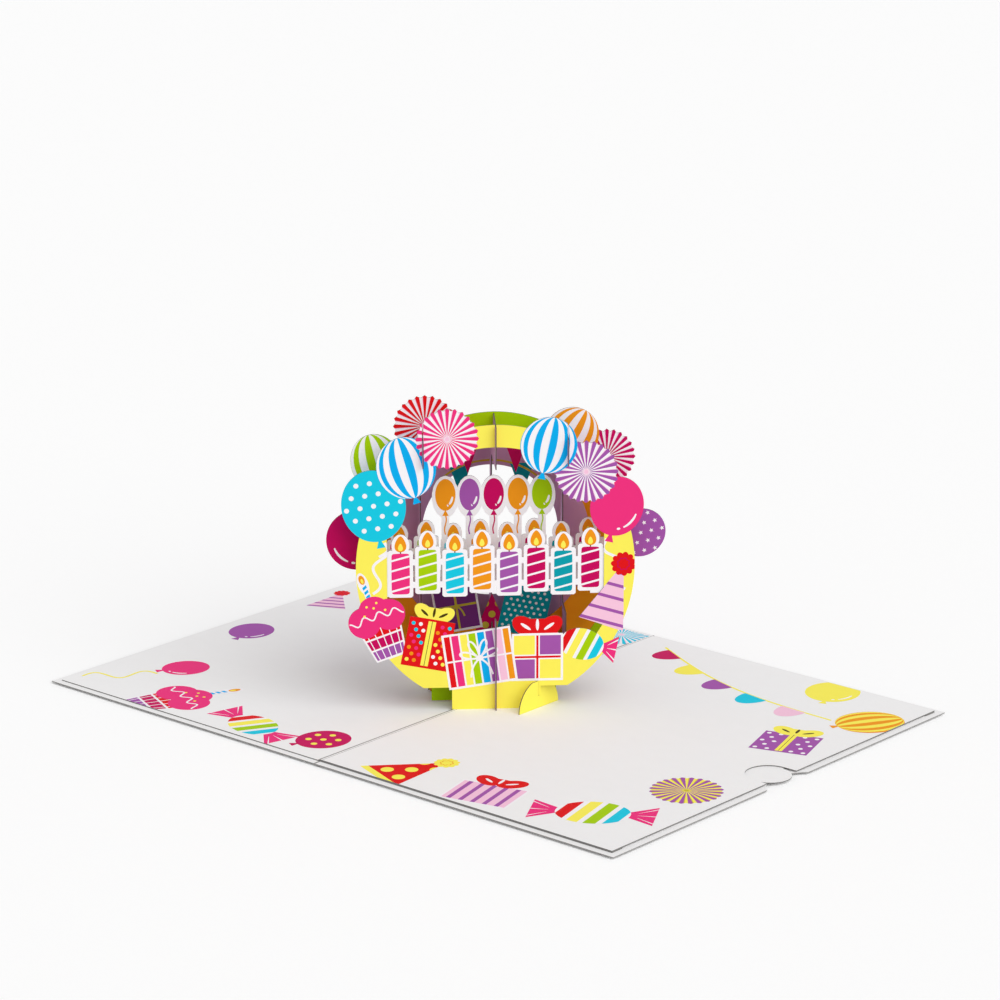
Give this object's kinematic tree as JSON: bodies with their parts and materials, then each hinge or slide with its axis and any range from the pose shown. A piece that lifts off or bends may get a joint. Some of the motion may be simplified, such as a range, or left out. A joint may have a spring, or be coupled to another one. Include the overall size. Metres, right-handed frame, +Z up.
{
  "type": "pop up greeting card",
  "caption": "Open folded card with a free-standing lattice of slotted ring-shaped paper slices, balloons, presents and candle rows, and a slide-out note card.",
  "frame": {"origin": "middle of the fold, on the underside of the cover, which is the surface that the open card lies on", "axes": "+X across the fold to the panel that holds the note card, +Y along the fold away from the viewer, +Z up"},
  "size_m": [0.254, 0.1778, 0.1095],
  "materials": {
    "cover_card": "smooth uncoated white card, one score line",
    "liner_left_print": "smooth matt paper, printed in flat colours",
    "liner_right_print": "smooth matt paper, printed in flat colours",
    "note_card_stock": "smooth uncoated white card",
    "anchor_tab": "matt yellow card, laser-cut edge",
    "front_slice_card": "matt yellow card, printed in flat colours, laser-cut edge",
    "front_row_card": "matt white card, printed in flat colours, laser-cut edge",
    "second_slice_card": "matt green card, printed in flat colours, laser-cut edge",
    "third_slice_card": "matt orange card, printed in flat colours, laser-cut edge",
    "back_slice_card": "matt light purple card, printed in flat colours, laser-cut edge",
    "cross_card": "matt light purple card, laser-cut edge"
  },
  "bodies": {
    "card": {"cover": "cover_card", "liner_left": "liner_left_print", "liner_right": "liner_right_print", "anchor_tab_right": "anchor_tab", "anchor_tab_left": "anchor_tab", "front_slice": "front_slice_card", "front_row": "front_row_card", "second_slice": "second_slice_card", "third_slice": "third_slice_card", "back_slice": "back_slice_card", "centre_cross": "cross_card", "left_cross": "cross_card", "right_cross": "cross_card"},
    "note": {"note_card": "note_card_stock"}
  },
  "joints": [
    {"name": "note_slide", "type": "slide", "parent": "card", "child": "note", "axis": [1, 0, 0], "range_m": [0, 0.1]}
  ]
}
